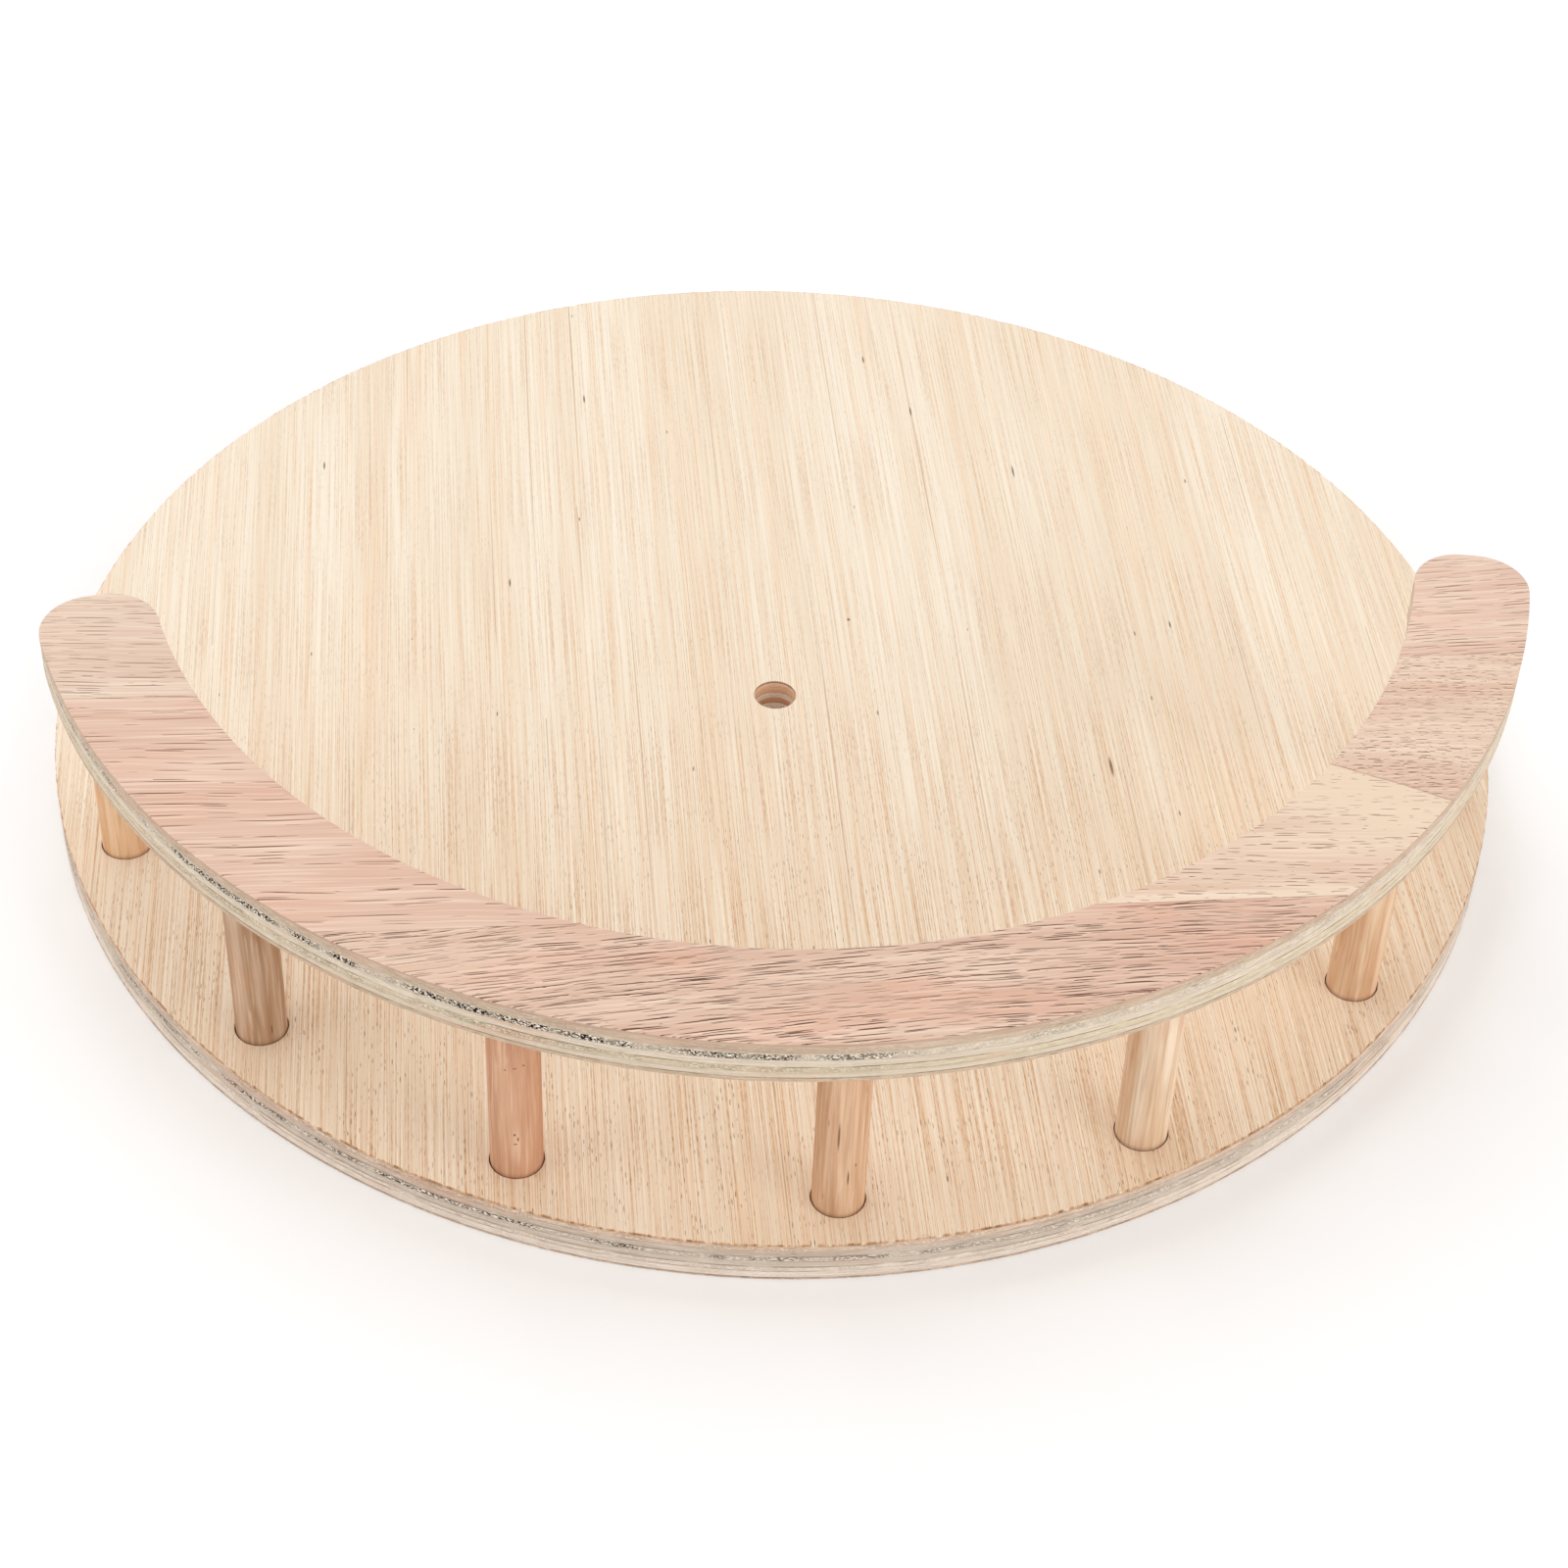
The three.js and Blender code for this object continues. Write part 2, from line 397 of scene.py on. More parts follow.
def deck_lines(wood, place, front, crisp_and_shade):
    """Fine cream and tan lines along Y, with the rail's painted shade at the front. Returns the
    colour, the fine lines and the wide ones.
    """
    combed = wood.bent(place, (1.6, 500, 500), (0, 16, 0))
    fine = wood.cloud(combed, (0.24, 48, 9), 1)
    wide = wood.cloud(combed, (0.6, 110, 9), 1)
    breaks = wood.step(wood.cloud(place, (0.35, 2.2, 9), 1), 0.4, 0.6, 0.45, 1.0)
    bands = wood.cloud(place, (13, 420, 20), 2)
    stripes = wood.cloud(combed, (1.5, 200, 15), 1)
    colour = wood.blend(wood.step(bands, 0.35, 0.65), "ecdcc6", "f1e5d2")
    colour = wood.blend(wood.step(stripes, 0.5, 0.68, 0.0, 0.3), colour, "f0d2b0")
    # Painted shade of the rail: the front of the deck is tinted darker and more orange.
    colour = wood.blend(wood.times(front, 0.3), colour, "e6c7a4")
    tan = wood.step(wide, 0.36, 0.58, 0.42, 0.0)
    colour = wood.blend(wood.times(tan, crisp_and_shade), colour, "e2bb94")
    brown = wood.step(fine, 0.36, 0.5, 0.75, 0.0)
    colour = wood.blend(wood.times(brown, crisp_and_shade, breaks), colour, "c8986b")
    cream = wood.step(fine, 0.54, 0.66, 0.0, 0.55)
    colour = wood.blend(wood.times(cream, crisp_and_shade, breaks), colour, "faf1de")
    return colour, fine, wide


def deck_flaws(wood, place, crisp_and_shade, colour):
    """Long tan lines, short ticks, sparse flecks and marks. Returns the colour and the pits."""
    long_lines = wood.specks(place, (10, 170, TALL), (0.22, 75, ELLIPSOID_TALL), 0.6)
    colour = wood.blend(wood.times(long_lines, 0.5), colour, "bd9670")
    patches = wood.step(wood.cloud(place, (6, 15, TALL), 2), 0.4, 0.6, 0.25, 1.0)
    ticks = wood.specks(place, (0.75, 3.2, TALL), (0.12, 1.0, ELLIPSOID_TALL), 0.6)
    ticks = wood.times(ticks, patches)
    # The ticks darken sharply towards the front, as painted shade of the rail.
    colour = wood.blend(wood.times(ticks, crisp_and_shade, crisp_and_shade, crisp_and_shade, 0.75), colour, "7f6646")
    flecks = wood.specks(place, (20, 30, TALL), (0.24, 1.0, ELLIPSOID_TALL), 0.3)
    marks = [wood.spot((x, y, DECK_TOP / MM), (across, along, TALL))
             for x, y, across, along in DECK_MARKS]
    dark = wood.most(wood.times(flecks, 0.8), *marks)
    colour = wood.blend(wood.times(dark, 0.85), colour, "5c4a36")
    return colour, wood.most(ticks, dark)


def deck_face_wood():
    """Straight-grained engineered veneer. Towards the front of the deck, a darker, more orange tint
    and crisper lines are painted shade of the rail.
    """
    wood = Wood("deck_face")
    place = wood.bent(wood.place, (60, 160, 60), (0.9, 0, 0))
    # front is 1 at the front of the deck and falls to 0 a little behind its middle. It places the
    # painted shade of the rail, and crisp_and_shade makes the lines stronger there.
    front = wood.step(wood.axis(wood.place, "Y"), -110 * MM, 60 * MM, 1.0, 0.0)
    crisp_and_shade = wood.calc("ADD", 0.55, wood.times(front, 0.45))
    colour, fine, wide = deck_lines(wood, place, front, crisp_and_shade)
    colour, pits = deck_flaws(wood, place, crisp_and_shade, colour)
    colour = deck_rim(wood, colour)
    relief = wood.calc("SUBTRACT", wood.times(fine, 0.3), pits)
    return wood.finish(colour, relief, 0.03, (0.5, 0.62), wide)


class Ply:
    """How one ply looks. Its thickness and tick_mm, the width of its ticks, are in mm."""

    def __init__(self, thickness, along_x, pale, dark, ticks=0.0, tick_tone="5b4a3a", line=0.0,
                 left_only=0.0, tick_mm=0.8, bore_painted_light="e0c0a0", underside=False):
        self.thickness = thickness * MM
        self.along_x = along_x
        self.pale = pale
        self.dark = dark
        # The strength of the ticks of open end grain and of their painted glints, and the tone of the
        # ticks.
        self.ticks = ticks
        self.tick_tone = tick_tone
        self.tick_mm = tick_mm
        # How much weaker the ticks are on the right of the object.
        self.left_only = left_only
        # The strength of the dark line at the top of the ply.
        self.line = line
        # The tone in the bolt hole: the wall's own bands, made bright as painted light inside the
        # hole.
        self.bore_painted_light = bore_painted_light
        self.underside = underside


def plain_face(wood):
    """The colour of an underside: a plain veneer with its grain along X."""
    place = wood.bent(wood.place, (60, 25, TALL), (0, 2.5, 0))
    figure = wood.cloud(place, (160, 9, TALL), 2)
    fibres = wood.cloud(place, (30, 0.5, 9), 1)
    colour = wood.blend(wood.step(figure, 0.35, 0.65), "dcc0a6", "ead2b9")
    colour = wood.blend(wood.step(fibres, 0.36, 0.5, 0.3, 0.0), colour, "c79f7e")
    pores = wood.specks(place, (7, 1.1, TALL), (2.4, 0.11, ELLIPSOID_TALL), 0.6)
    return wood.blend(wood.times(pores, 0.6), colour, "8e6347")


def end_grain(wood, place, ply, top, colour):
    """Dark ticks of torn end grain in the middle of a ply, and pale ticks that are painted glints.
    Returns colour and ticks.
    """
    patch = wood.step(wood.cloud(wood.place, (8, 8, 9), 2), 0.4, 0.56, 0.3, 1.0)
    side = wood.step(wood.axis(wood.place, "X"), -30 * MM, 50 * MM, 1.0, 1.0 - ply.left_only)
    patch = wood.times(patch, side)
    torn = wood.cloud(place, (ply.tick_mm, ply.tick_mm, 0.27), 1)
    level = wood.calc("SUBTRACT", wood.axis(place, "Z"), top - ply.thickness / 2)
    level = wood.calc("ABSOLUTE", level)
    inner = wood.step(level, 0.3 * ply.thickness, 0.46 * ply.thickness, 1.0, 0.0)
    cracks = wood.times(wood.step(torn, 0.47, 0.53), inner, patch, ply.ticks)
    colour = wood.blend(cracks, colour, ply.tick_tone)
    # Pale ticks: painted glints on the torn end grain.
    pale = wood.times(wood.step(torn, 0.34, 0.4, 1.0, 0.0), inner, patch, 0.8 * ply.ticks)
    return wood.blend(pale, colour, "fff6e8"), cracks


def ply_seam(wood, ply, top, colour):
    """Draws the dark line at the top of a ply, with weaker stretches."""
    seam = wood.step(wood.axis(wood.place, "Z"), top - 0.3 * MM, top - 0.12 * MM, 0.0, ply.line)
    stretches = wood.step(wood.cloud(wood.place, (9, 9, 9), 2), 0.4, 0.55, 0.2, 1.0)
    return wood.blend(wood.times(seam, stretches), colour, "7a6148")


def ply_underside(wood, bottom, colour, cracks):
    """Covers a ply's bottom face with plain veneer. Returns the colour and the cracks."""
    height = wood.axis(wood.place, "Z")
    below = wood.step(height, bottom + 0.02 * MM, bottom + 0.06 * MM, 1.0, 0.0)
    return wood.blend(below, colour, plain_face(wood)), wood.times(cracks, wood.rest(below))


def ply_wood(name, ply, top):
    """One ply of the plywood, seen on its sawn edge. Its grain runs along X or along Y."""
    wood = Wood(name, 0.1)
    place = wood.bent(wood.place, (20, 20, 6), (0.4, 0.4, 0.25))

    def lay(along, across, up):
        return (along, across, up) if ply.along_x else (across, along, up)

    streaks = wood.cloud(place, lay(34, 1.8, 0.34), 3)
    grain = wood.cloud(place, lay(6, 0.4, 0.25), 2)
    tint = wood.cloud(wood.place, (24, 24, 3), 2)
    colour = wood.blend(wood.step(streaks, 0.34, 0.66), ply.dark, ply.pale)
    colour = wood.blend(wood.step(grain, 0.32, 0.6, 0.5, 0.0), colour, ply.dark)
    colour = wood.blend(wood.step(tint, 0.56, 0.74, 0.0, 0.45), colour, "d9ae94")
    colour, cracks = end_grain(wood, place, ply, top, colour)
    dashes = wood.specks(place, (5, 5, 0.9), (1.1, 1.1, 0.14), 0.5)
    colour = wood.blend(wood.times(dashes, 0.6), colour, ply.tick_tone)
    colour = ply_seam(wood, ply, top, colour)
    # In the bolt hole each ply takes its bore tone, which is painted light inside the hole.
    in_bore = wood.step(wood.from_axis(), HOLE_RADIUS + 1 * MM, HOLE_RADIUS + 3 * MM, 1.0, 0.0)
    bore_painted_light = wood.blend(wood.step(streaks, 0.3, 0.7, 0.25, 0.0), ply.bore_painted_light, "b98a68")
    colour = wood.blend(in_bore, colour, bore_painted_light)
    if ply.underside:
        colour, cracks = ply_underside(wood, top - ply.thickness, colour, cracks)
    relief = wood.calc("SUBTRACT", wood.times(streaks, 0.5), cracks)
    return wood.finish(colour, relief, 0.15, (0.7, 0.85), streaks)


def leaf_base(wood, place, look):
    """The plain figure of a leaf: soft bands, fine fibres and pinker clouds."""
    figure = wood.cloud(place, (70, 9, TALL), 2)
    fibres = wood.cloud(place, (26, 0.5, 9), 1)
    pink = wood.cloud(wood.place, (34, 15, TALL), 1)
    colour = wood.blend(wood.step(figure, 0.35, 0.66), look["deep"], look["pale"])
    colour = wood.blend(wood.step(pink, 0.5, 0.72, 0.0, look["blush"]), colour, "dea88f")
    colour = wood.blend(wood.step(fibres, 0.36, 0.5, 0.22, 0.0), colour, "c99a80")
    colour = wood.blend(wood.step(fibres, 0.54, 0.66, 0.0, 0.3), colour, "fbe6d2")
    return colour, fibres


def leaf_pores(wood, place, length, gap, share, thick):
    """Open pores along X, and painted highlights beside them."""
    def lines(place):
        wide_half = (length / 1.7, thick, ELLIPSOID_TALL)
        thin_half = (length / 3.4, thick * 0.85, ELLIPSOID_TALL)
        wide = wood.specks(place, (length * 1.25, gap, TALL), wide_half, share, 0.7)
        place = wood.shifted(place, (3, 0.7, 0))
        thin = wood.specks(place, (length * 0.6, gap * 1.3, TALL), thin_half, share, 0.7)
        return wood.most(wide, wood.times(thin, 0.85))
    # The first set is the pores. The second, moved 0.4 mm along Y, is the painted highlight beside
    # each pore.
    return lines(place), lines(wood.shifted(place, (0, 0.4, 0)))


def behind_line(wood, start, end):
    """How far each place lies behind a wavy line through two points, which are in mm."""
    wavy = wood.bent(wood.place, (7, 7, TALL), (0.8, 0.8, 0))
    slope = (end[1] - start[1]) / (end[0] - start[0])
    level = wood.calc("SUBTRACT", wood.axis(wavy, "Y"), wood.times(wood.axis(wavy, "X"), slope))
    return wood.calc("SUBTRACT", level, (start[1] - slope * start[0]) * MM)


def leaf_zone(wood, level, inside, colour):
    """A paler zone in front of a line, a dark growth line on it and a pale streak at the seam."""
    paleness = wood.step(level, -28 * MM, -9 * MM, 0.2, 0.8)
    colour = wood.blend(wood.times(inside, paleness), colour, "e9d3ba")
    growth = wood.step(wood.calc("ABSOLUTE", level), 0.08 * MM, 0.3 * MM, 0.55, 0.0)
    colour = wood.blend(growth, colour, "ab7d66")
    streak = wood.axis(wood.bent(wood.place, (14, 9, TALL), (0, 0.9, 0)), "Y")
    streak = wood.step(streak, FRONT_SEAM + 1.2 * MM, FRONT_SEAM + 2.8 * MM, 0.6, 0.0)
    return wood.blend(streak, colour, "f0dcc6")


def grain_place(wood, look):
    """Places whose X runs along a leaf's grain: tilted, lifted towards one end, and wavy."""
    place = wood.turned(wood.place, look["tilt"])
    if "lift" in look:
        start, end, rise = look["lift"]
        x = wood.axis(wood.place, "X")
        lift = wood.step(x, start * MM, end * MM, 0.0, -rise * MM)
        place = wood.vector("ADD", place, wood.add("ShaderNodeCombineXYZ", {1: lift}))
    return wood.bent(place, (30, 11, TALL), (0, 1.1, 0))


def leaf_wood(name, look):
    """Hardwood veneer with its grain roughly along X and dark open pores."""
    wood = Wood(name)
    place = grain_place(wood, look)
    colour, fibres = leaf_base(wood, place, look)
    ink, pore_highlight = leaf_pores(wood, place, *look["pores"])
    if "zone" in look:
        level = behind_line(wood, *look["zone"])
        inside = wood.step(level, -0.3 * MM, 0.3 * MM, 1.0, 0.0)
        colour = leaf_zone(wood, level, inside, colour)
        zone_ink, zone_pore_highlight = leaf_pores(wood, place, *look["zone_pores"])
        ink = wood.part(inside, ink, zone_ink)
        pore_highlight = wood.part(inside, pore_highlight, zone_pore_highlight)
    if "ruddy" in look:
        start, end, amount = look["ruddy"]
        x = wood.axis(wood.bent(wood.place, (20, 6, TALL), (9, 0, 0)), "X")
        red = wood.step(x, start * MM, end * MM, 0.0, amount)
        colour = wood.blend(red, colour, "cc9883")
    dense = wood.step(wood.cloud(wood.place, (26, 11, TALL), 1), 0.34, 0.56, 0.55, 1.0)
    height = wood.axis(wood.place, "Z")
    face = wood.step(height, RAIL_TOP - 0.22 * MM, RAIL_TOP - 0.04 * MM)
    ink = wood.times(ink, dense, face)
    # Painted highlight beside each pore, in a pale tone.
    colour = wood.blend(wood.times(pore_highlight, dense, face, 0.45), colour, "fbe4cc")
    colour = wood.blend(wood.times(ink, look["ink"]), colour, look["pore"])
    edge = wood.step(face, 0.0, 0.9, 0.7, 0.0)
    colour = wood.blend(edge, colour, "bb9780")
    relief = wood.calc("SUBTRACT", wood.times(fibres, 0.3), ink)
    return wood.finish(colour, relief, 0.09, (0.45, 0.6), fibres)


# Each dowel takes its pattern from a height of its own, its seed times this many mm up.
SEED_SHIFT = 1000
# Each dowel is darker over this height above the deck: painted shade where it meets the deck.
FOOT_SHADE_HEIGHT = 1.2 * MM


def dowel_wood(name, look, seed, centre):
    """A turned hardwood rod with its grain along Z, dark marks at places of its own, and painted shade
    at its foot.
    """
    wood = Wood(name, 0.15)
    pale, deep, fleck, marks = look
    place = wood.shifted(wood.place, (0, 0, seed * SEED_SHIFT))
    place = wood.bent(place, (9, 9, 30), (0.8, 0.8, 0))
    streaks = wood.cloud(place, (2.6, 2.6, 70), 2)
    fibres = wood.cloud(place, (0.55, 0.55, 16), 2)
    tint = wood.cloud(place, (5, 5, 16), 1)
    colour = wood.blend(wood.step(streaks, 0.33, 0.67), deep, pale)
    colour = wood.blend(wood.step(tint, 0.5, 0.7, 0.0, 0.3), colour, "c99270")
    colour = wood.blend(wood.step(fibres, 0.34, 0.5, 0.28, 0.0), colour, "a87a58")
    colour = wood.blend(wood.step(fibres, 0.54, 0.66, 0.0, 0.25), colour, "f6dcc0")
    flecks = wood.specks(place, (1.1, 1.1, 6), (0.17, 0.17, 2.0), 0.5)
    flecks = wood.times(flecks, fleck)
    x, y = centre.x / MM, centre.y / MM
    knots = [wood.spot((x + across, y + along, height), half)
             for across, along, height, half in marks]
    dark = wood.most(flecks, *knots)
    colour = wood.blend(wood.times(dark, 0.8), colour, "5f3f2c")
    # Painted shade at the foot of the rod, where it meets the deck.
    painted_foot_shade = wood.step(wood.axis(wood.place, "Z"), DECK_TOP, DECK_TOP + FOOT_SHADE_HEIGHT, 0.3, 0.0)
    colour = wood.blend(painted_foot_shade, colour, "8a5b3c")
    relief = wood.calc("SUBTRACT", wood.times(fibres, 0.4), dark)
    return wood.finish(colour, relief, 0.06, (0.5, 0.65), fibres)


# ---------------------------------------------------------------- the deck

def circle(centre, radius, count):
    return arc(centre, radius, 0, FULL_TURN, count)


def hole(centre, radius, count):
    return list(reversed(circle(centre, radius, count)))


def sockets(count):
    """The holes that the dowels stand in, with a number of points each."""
    return [hole(middle(name).to_2d(), SOCKET_RADIUS, count) for name in DOWELS]


# The plies from the top down.
DECK_PLIES = [
    Ply(1.25, False, "ebd2bc", "d2b7a1", 0.35, "6a5240", 0.5, 0.4, tick_mm=0.6, bore_painted_light="fbd3b4"),
    Ply(1.50, True, "d9c8b7", "c1ad9b", 0.1, line=0.4, bore_painted_light="ecc5a3"),
    Ply(1.30, False, "e8dacb", "d3c4b2", 0.9, "3a3028", 0.6, 0.6, tick_mm=0.6, bore_painted_light="fff2e2"),
    Ply(1.50, True, "dccdbe", "c9b8a8", 0.1, line=0.5, bore_painted_light="dcae8a"),
    Ply(1.15, False, "f2e4d5", "dccbb9", 0.25, "7a6350", 0.6, 0.5, tick_mm=0.6, bore_painted_light="fffaf2"),
    Ply(1.80, True, "f3e4d6", "decdbd", 0.1, line=0.6, bore_painted_light="ffe9d0"),
    Ply(0.50, False, "e2cdbc", "c9b19e", 0.3, "6a5240", 0.5, bore_painted_light="f0cba8", underside=True),
]
RAIL_PLIES = [
    Ply(2.00, True, "d6c0aa", "bfa68f", 0.15, "5b4a3a", 0.3),
    Ply(1.80, False, "e8d9c6", "cebea9", 1.0, "0c0906", 0.2, 0.8, 0.45),
    Ply(1.40, True, "e6d8c5", "d2c1ac", 0.08, "6f6250", 0.1),
    Ply(1.50, False, "e4d4ba", "cebca0", 0.35, "5b4a3a", 0.9, 0.9, 0.5),
    Ply(1.20, True, "e2d3be", "d1c0a9", 0.08, line=0.2),
    Ply(1.10, False, "d6c0a8", "bfa78e", 0.1, "6a5240", 0.7, underside=True),
]
# Each ply's edge stands back from the outline, every second one by a step more. At its top and
# bottom it stands back by a nick more.
PLY_BACK = 0.02 * MM
PLY_STEP = 0.05 * MM
PLY_NICK = 0.05 * MM
NICK_HEIGHT = 0.12 * MM
# The edge of the deck's face as (height, inset), bottom first.
DECK_FACE_EDGE = [(DECK_PLIES_TOP, 0.05 * MM), (DECK_TOP - 0.15 * MM, 0.0), (DECK_TOP, 0.08 * MM)]
# How many points go round the rim, the bolt hole and each socket.
PLY_POINTS = (1100, 64, 48)
FACE_POINTS = (2000, 72, 60)
# A ply that reaches a socket by less than this has no part of it.
SOCKET_SLACK = 0.1 * MM


def stack(prefix, node, plies, top, loops_at, grain_step):
    """A stack of plies under a height. loops_at gives a ply's loops from its two heights."""
    for i, ply in enumerate(plies):
        bottom = top - ply.thickness
        back = PLY_BACK + PLY_STEP * (i % 2)
        nick = back + PLY_NICK
        rows = [(bottom, nick), (bottom + NICK_HEIGHT, back), ((bottom + top) / 2, back),
                (top - NICK_HEIGHT, back), (top, nick)]
        name = f"{prefix}_{i + 1}"
        piece = board(name, loops_at(bottom, top), rows, roughness_mm=0.06, seed=grain_step * i)
        finished(piece, ply_wood(name, ply, top), prefix, node)
        top = bottom


def deck_outline(points, has_sockets):
    """The deck's rim and bolt hole, and its sockets if it has them."""
    rim_points, hole_points, socket_points = points
    loops = [circle((0, 0), DECK_RADIUS, rim_points), hole((0, 0), HOLE_RADIUS, hole_points)]
    return loops + sockets(socket_points) if has_sockets else loops


def deck_loops(_, top):
    """A deck ply's loops. The sockets don't reach the lowest plies."""
    return deck_outline(PLY_POINTS, top > SOCKET_FLOOR + SOCKET_SLACK)


def make_deck():
    """The deck's plies and the veneer on top of them."""
    stack("deck_ply", "deck_board", DECK_PLIES, DECK_PLIES_TOP, deck_loops, 7.0)
    loops = deck_outline(FACE_POINTS, True)
    face = board("deck_face", loops, DECK_FACE_EDGE, roughness_mm=0.1, seed=3.0, chip_mm=0.9)
    finished(face, deck_face_wood(), "deck_face", "deck_veneer")


# ---------------------------------------------------------------- the rail

# How many points go along the outer edge, the inner edge and each corner, and round each socket.
OUTER_POINTS = 700
INNER_POINTS = 600
CORNER_POINTS = 24
RAIL_SOCKET_POINTS = 48


def rail_outline():
    """The crescent's outline, anticlockwise from the left end of its outer edge."""
    c = RAIL_END_CORNER
    quarter = FULL_TURN / 4
    half = FULL_TURN / 2
    front = -quarter
    outer_reach, inner_reach = RAIL_OUTER - c, RAIL_INNER + c
    outer_end = RAIL_SPAN - math.asin(c / outer_reach)
    inner_end = RAIL_SPAN - math.asin(c / inner_reach)
    right, left = front + RAIL_SPAN, front - RAIL_SPAN

    def corner(distance, angle, start, end):
        centre = (distance * math.cos(angle), distance * math.sin(angle))
        return arc(centre, c, start, end, CORNER_POINTS)

    points = arc((0, 0), RAIL_OUTER, front - outer_end, front + outer_end, OUTER_POINTS)
    points += corner(outer_reach, front + outer_end, front + outer_end, right + quarter)
    points += corner(inner_reach, front + inner_end, right + quarter, front + inner_end + half)
    points += arc((0, 0), RAIL_INNER, front + inner_end, front - inner_end, INNER_POINTS)
    points += corner(inner_reach, front - inner_end, front - inner_end - half, left - quarter)
    points += corner(outer_reach, front - outer_end, left - quarter, front - outer_end)
    return points


def clipped(loop, low, high):
    """The part of a loop between two distances along Y, closed along straight seams."""
    for limit, sign in ((low, 1), (high, -1)):
        kept = []
        for a, b in zip(loop, loop[1:] + loop[:1]):
            a_in, b_in = sign * (a.y - limit) >= 0, sign * (b.y - limit) >= 0
            if a_in:
                kept.append(a)
            if a_in != b_in:
                kept.append(a.lerp(b, (limit - a.y) / (b.y - a.y)))
        loop = kept
    return loop


def rail_loops(bottom, _):
    """A rail ply's loops. The sockets don't reach the highest plies."""
    if bottom < SOCKET_CEILING - SOCKET_SLACK:
        return [rail_outline()] + sockets(RAIL_SOCKET_POINTS)
    return [rail_outline()]


# A leaf's two tones, the tilt of its grain in degrees, and the strengths of its pinker clouds and
# of its pores. Pores are (length, gap, share of the cells that have one, thickness). A lift is
# (start, end, rise) and ruddy is (start, end, strength), both along X. A zone lies in front of a
# line through two points and has pores of its own. All lengths are in mm.
LEAF_LOOKS = {
    "rail_leaf_front": {
        "pale": "dfc1ac", "deep": "d3b19c", "tilt": 4.5, "lift": (5, 120, -4.5), "blush": 0.4,
        "pores": (10, 0.75, 0.85, 0.13), "ink": 1.0, "pore": "5c3426",
        "ruddy": (10, 65, 0.3)},
    "rail_leaf_left": {
        "pale": "dfc0ac", "deep": "d6b29d", "tilt": -1.5, "blush": 0.28,
        "pores": (16, 2.1, 0.7, 0.17), "ink": 0.95, "pore": "80523c"},
    "rail_leaf_right": {
        "pale": "e2c7b2", "deep": "d8b8a2", "tilt": -3.0, "blush": 0.25,
        "pores": (2.6, 0.95, 0.7, 0.12), "ink": 0.8, "pore": "80523c",
        "zone": ((94.7, -83.4), (115.1, -94.2)), "zone_pores": (5, 1.25, 0.55, 0.12)},
    "rail_leaf_left_tip": {
        "pale": "e2cbb7", "deep": "d8bca8", "tilt": -2.5, "blush": 0.1,
        "pores": (9, 1.4, 0.6, 0.13), "ink": 0.75, "pore": "80523c"},
    "rail_leaf_right_tip": {
        "pale": "e4c8b5", "deep": "dab7a4", "tilt": 2.5, "blush": 0.35,
        "pores": (10, 1.3, 0.7, 0.13), "ink": 0.75, "pore": "80523c"},
}
# The edge of a leaf as (height, inset), bottom first. Its top is rounded over.
LEAF_EDGE = [(RAIL_PLIES_TOP, 0.02 * MM), (RAIL_TOP - 0.2 * MM, 0.02 * MM),
             (RAIL_TOP - 0.05 * MM, 0.06 * MM), (RAIL_TOP, 0.18 * MM)]
SEAM_WIDTH = 0.08 * MM
# An end of a leaf this close to a seam is cut along it.
SEAM_REACH = 1 * MM
# A point this close to a cut is on it, and stays where it is. A point that is further away, but
# nearer than LEAF_ROUNDING, is left out, because the rounded edge would fold over there.
ON_CUT = 0.001 * MM
LEAF_ROUNDING = 0.25 * MM


def leaf_limits(name):
    """Two distances along Y that a leaf lies between, and those of them where it is cut."""
    low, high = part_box(name)
    front, back = low.y - SEAM_REACH, high.y + SEAM_REACH
    cuts = []
    for seam in (FRONT_SEAM, TIP_SEAM):
        if abs(seam - high.y) < SEAM_REACH:
            back = seam - SEAM_WIDTH / 2
            cuts.append(back)
        elif abs(seam - low.y) < SEAM_REACH:
            front = seam + SEAM_WIDTH / 2
            cuts.append(front)
    return front, back, cuts


def make_leaf(name):
    """One leaf of the rail's veneer, cut from the crescent between its own seams."""
    front, back, cuts = leaf_limits(name)

    def gap(point):
        return min(abs(point.y - cut) for cut in cuts)

    loop = clipped(rail_outline(), front, back)
    if "left" in name or "right" in name:
        side = 1 if "right" in name else -1
        loop = [p for p in loop if p.x * side > 0]
    loop = [p for p in loop if gap(p) < ON_CUT or gap(p) > LEAF_ROUNDING]
    straight = [gap(p) < ON_CUT for p in loop]
    piece = board(name.replace("rail_leaf", "leaf"), [loop], LEAF_EDGE, kept=straight)
    finished(piece, leaf_wood(name, LEAF_LOOKS[name]), "rail_face", name)


def make_rail():
    """The rail's plies and the leaves of veneer on top of them."""
    stack("rail_ply", "rail_board", RAIL_PLIES, RAIL_PLIES_TOP, rail_loops, 5.0)
    for name in LEAVES:
        make_leaf(name)


# ---------------------------------------------------------------- the dowels

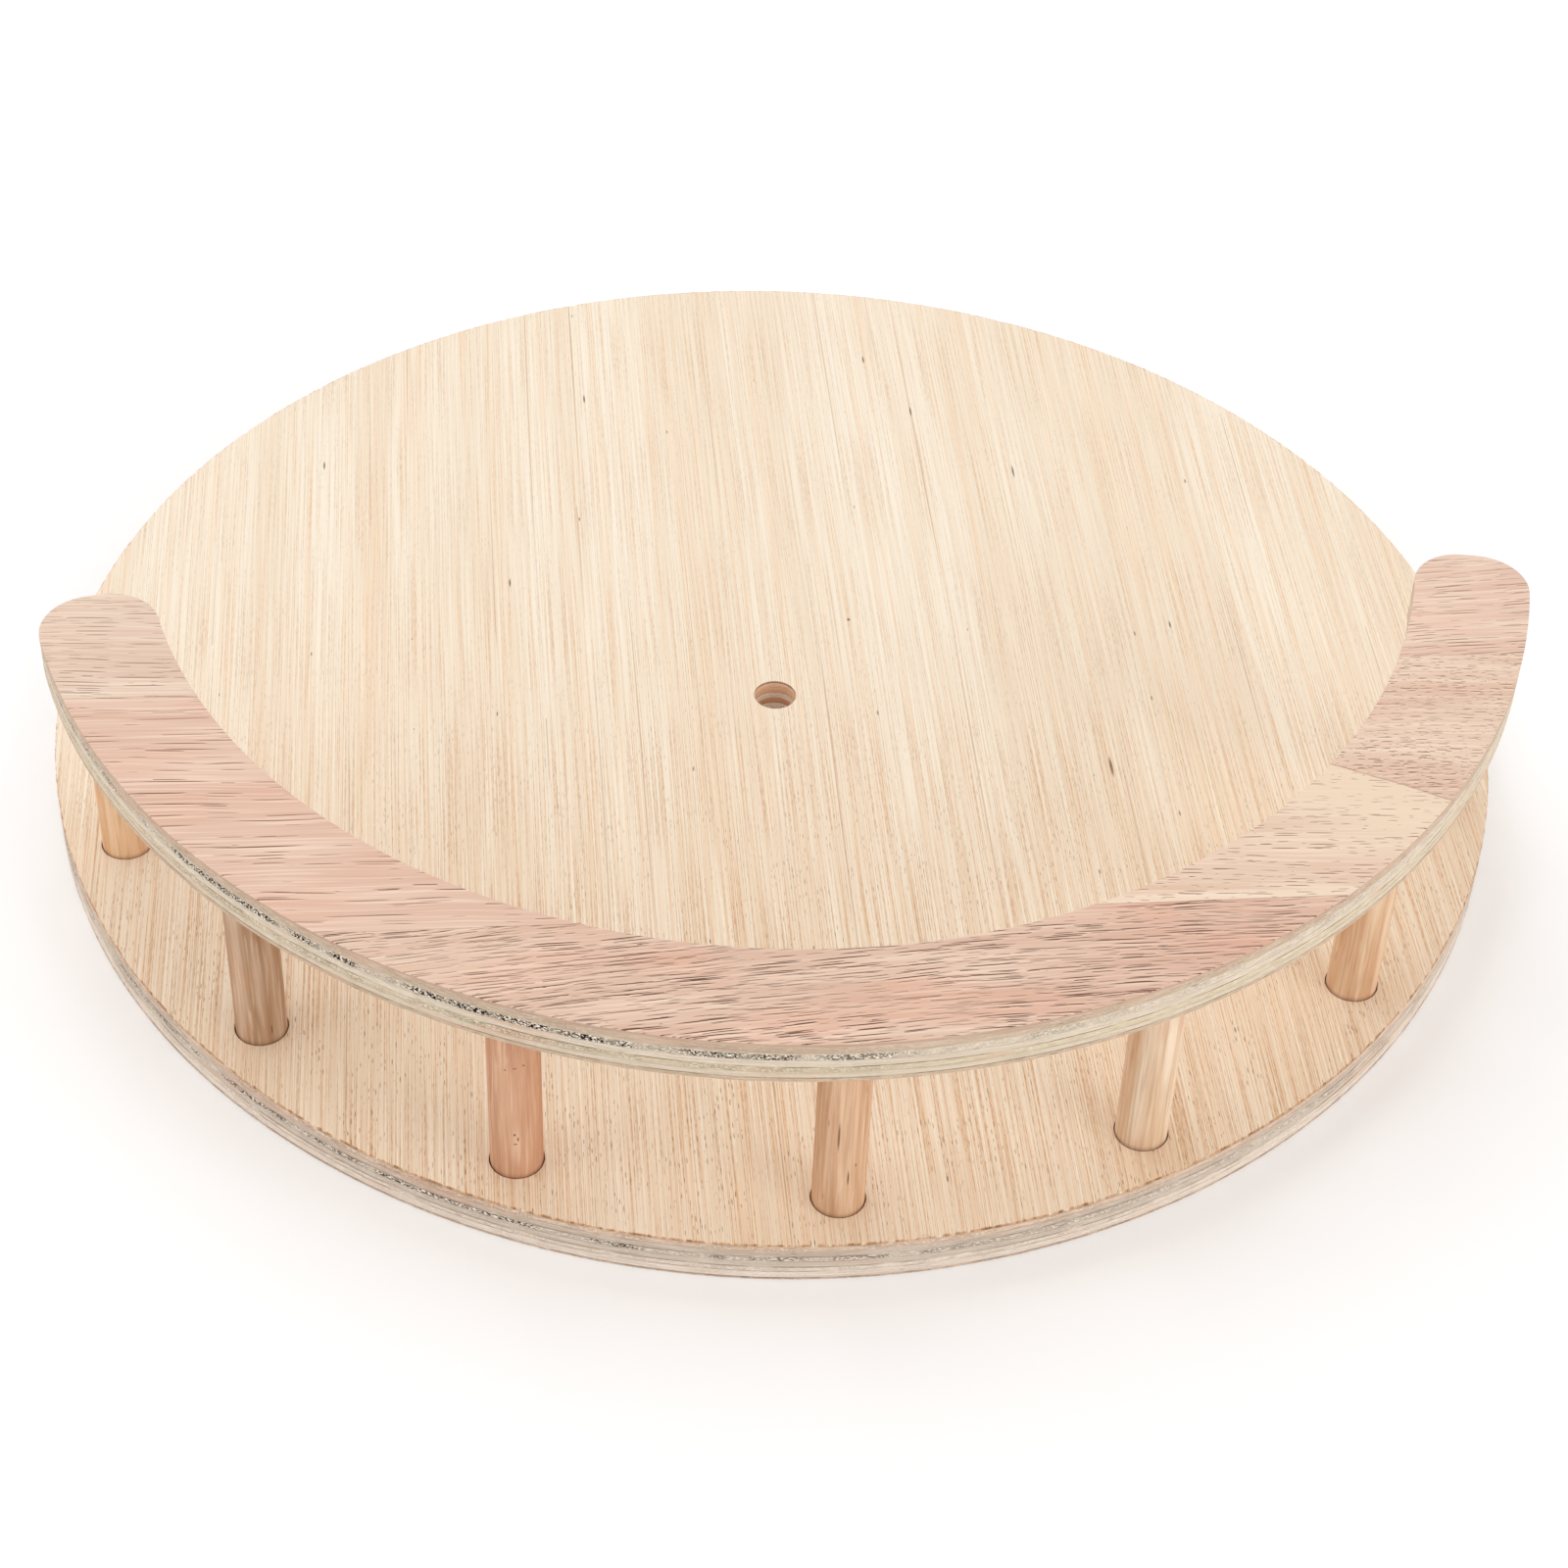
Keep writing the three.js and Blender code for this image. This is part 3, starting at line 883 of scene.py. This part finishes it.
# Each dowel's pale tone, deep tone, strength of flecks, and marks. A mark is (x, y, z, half size)
# in mm, with x and y from the dowel's own axis.
DOWEL_LOOKS = [
    ("e9c39c", "d9a77d", 0.3, []),
    ("ccae94", "a67f5e", 1.0, []),
    ("d3a585", "c38e70", 0.25, [(-0.3, -4.9, 21.2, (0.35, 1, 0.45)), (0.3, -4.9, 20.0, (0.22, 1, 0.8)),
                                (-0.2, -4.9, 18.7, (0.5, 1, 0.25)), (-1.6, -4.6, 38.2, (0.35, 1, 0.2)),
                                (0.1, -4.9, 38.7, (0.5, 1, 0.2)), (1.7, -4.6, 39.2, (0.3, 1, 0.3))]),
    ("ddb796", "c69a76", 0.7, [(-1.2, -4.8, 31, (0.3, 1, 5)), (0.9, -4.8, 20, (0.25, 1, 2.5)),
                               (2.2, -4.3, 23, (0.2, 1, 0.6))]),
    ("edd7bd", "d8b593", 0.4, []),
    ("e6c8a6", "d0a580", 0.5, []),
    ("e6c6a2", "d0a67e", 0.4, []),
]
# How many points go round a rod, and how many rows of them its straight part is divided by.
ROD_POINTS = 72
ROD_STEPS = 40
ROD_CHAMFER = 0.75 * MM
SEED_STEP = 3.1


def make_dowel(name, look, seed):
    """A turned rod whose ends sit in their sockets."""
    low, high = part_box(name)
    centre = middle(name)
    start, end = low.z + ROD_CHAMFER, high.z - ROD_CHAMFER
    rows = [(low.z, ROD_CHAMFER)]
    rows += [(start + (end - start) * i / ROD_STEPS, 0.0) for i in range(ROD_STEPS + 1)]
    rows += [(high.z, ROD_CHAMFER)]
    loop = circle(centre.to_2d(), DOWEL_RADIUS, ROD_POINTS)
    rod = name.replace("dowel", "rod")
    piece = board(rod, [loop], rows, roughness_mm=0.02, seed=seed)
    finished(piece, dowel_wood(rod, look, seed, centre), "dowel_wood", name)


def make_dowels():
    """The seven rods, from the left of the rail round to its right."""
    for i, (name, look) in enumerate(zip(DOWELS, DOWEL_LOOKS)):
        make_dowel(name, look, SEED_STEP * (i + 1))


# ---------------------------------------------------------------- camera, light and floor

def make_camera():
    """The camera at the place that the photo was taken from."""
    ahead = Vector((math.sin(CAMERA_HEADING) * math.cos(CAMERA_DIP),
                    math.cos(CAMERA_HEADING) * math.cos(CAMERA_DIP), -math.sin(CAMERA_DIP)))
    level = Vector((math.cos(CAMERA_HEADING), -math.sin(CAMERA_HEADING), 0))
    raised = level.cross(ahead)
    right = level * math.cos(CAMERA_ROLL) + raised * math.sin(CAMERA_ROLL)
    up = raised * math.cos(CAMERA_ROLL) - level * math.sin(CAMERA_ROLL)
    camera = bpy.data.objects.new("camera", bpy.data.cameras.new("camera"))
    bpy.context.scene.collection.objects.link(camera)
    camera.data.lens = CAMERA_LENS
    camera.data.sensor_width = CAMERA_SENSOR
    place = Matrix((right, up, -ahead)).transposed().to_4x4()
    place.translation = CAMERA_PLACE
    camera.matrix_world = place
    bpy.context.scene.camera = camera


def make_softbox(name, place, size, power):
    """A square area light that faces the middle of the deck."""
    light = bpy.data.lights.new(name, "AREA")
    light.size = size
    light.energy = power
    lamp = bpy.data.objects.new(name, light)
    lamp.location = place
    lamp.rotation_euler = (-Vector(place)).to_track_quat("-Z", "Y").to_euler()
    bpy.context.scene.collection.objects.link(lamp)


# Each softbox's name, place and size in metres, and power in watts.
SOFTBOXES = [
    ("softbox_above", (-0.5, 0.7, 1.6), 1.6, 8.5),
    ("softbox_right", (1.2, -1.0, 0.6), 1.0, 7.5),
    ("softbox_left", (-1.5, -0.3, 0.8), 1.0, 4.0),
]
SKY_LIGHT = 0.8
FLOOR_TONE = (0.97, 0.97, 0.97, 1)
FLOOR_REACH = 4.0
FLOOR_GAP = 0.02 * MM


def make_floor():
    """A matt, nearly white floor just under the deck."""
    r = FLOOR_REACH
    floor = solid("floor", [(-r, -r, 0), (r, -r, 0), (r, r, 0), (-r, r, 0)], [(0, 1, 2, 3)])
    floor.location.z = DECK_BOTTOM - FLOOR_GAP
    paint = bpy.data.materials.new("floor")
    paint.use_nodes = True
    shader = paint.node_tree.nodes["Principled BSDF"]
    shader.inputs["Base Color"].default_value = FLOOR_TONE
    shader.inputs["Roughness"].default_value = 0.9
    shader.inputs["Specular IOR Level"].default_value = 0.0
    floor.data.materials.append(paint)


def make_studio():
    """Even pale surroundings, three soft lights and a floor."""
    scene = bpy.context.scene
    scene.view_settings.view_transform = "Standard"
    world = bpy.data.worlds.new("studio")
    world.use_nodes = True
    background = world.node_tree.nodes["Background"]
    background.inputs["Color"].default_value = (1, 1, 1, 1)
    background.inputs["Strength"].default_value = SKY_LIGHT
    scene.world = world
    for softbox in SOFTBOXES:
        make_softbox(*softbox)
    make_floor()


make_camera()
make_studio()
make_deck()
make_rail()
make_dowels()
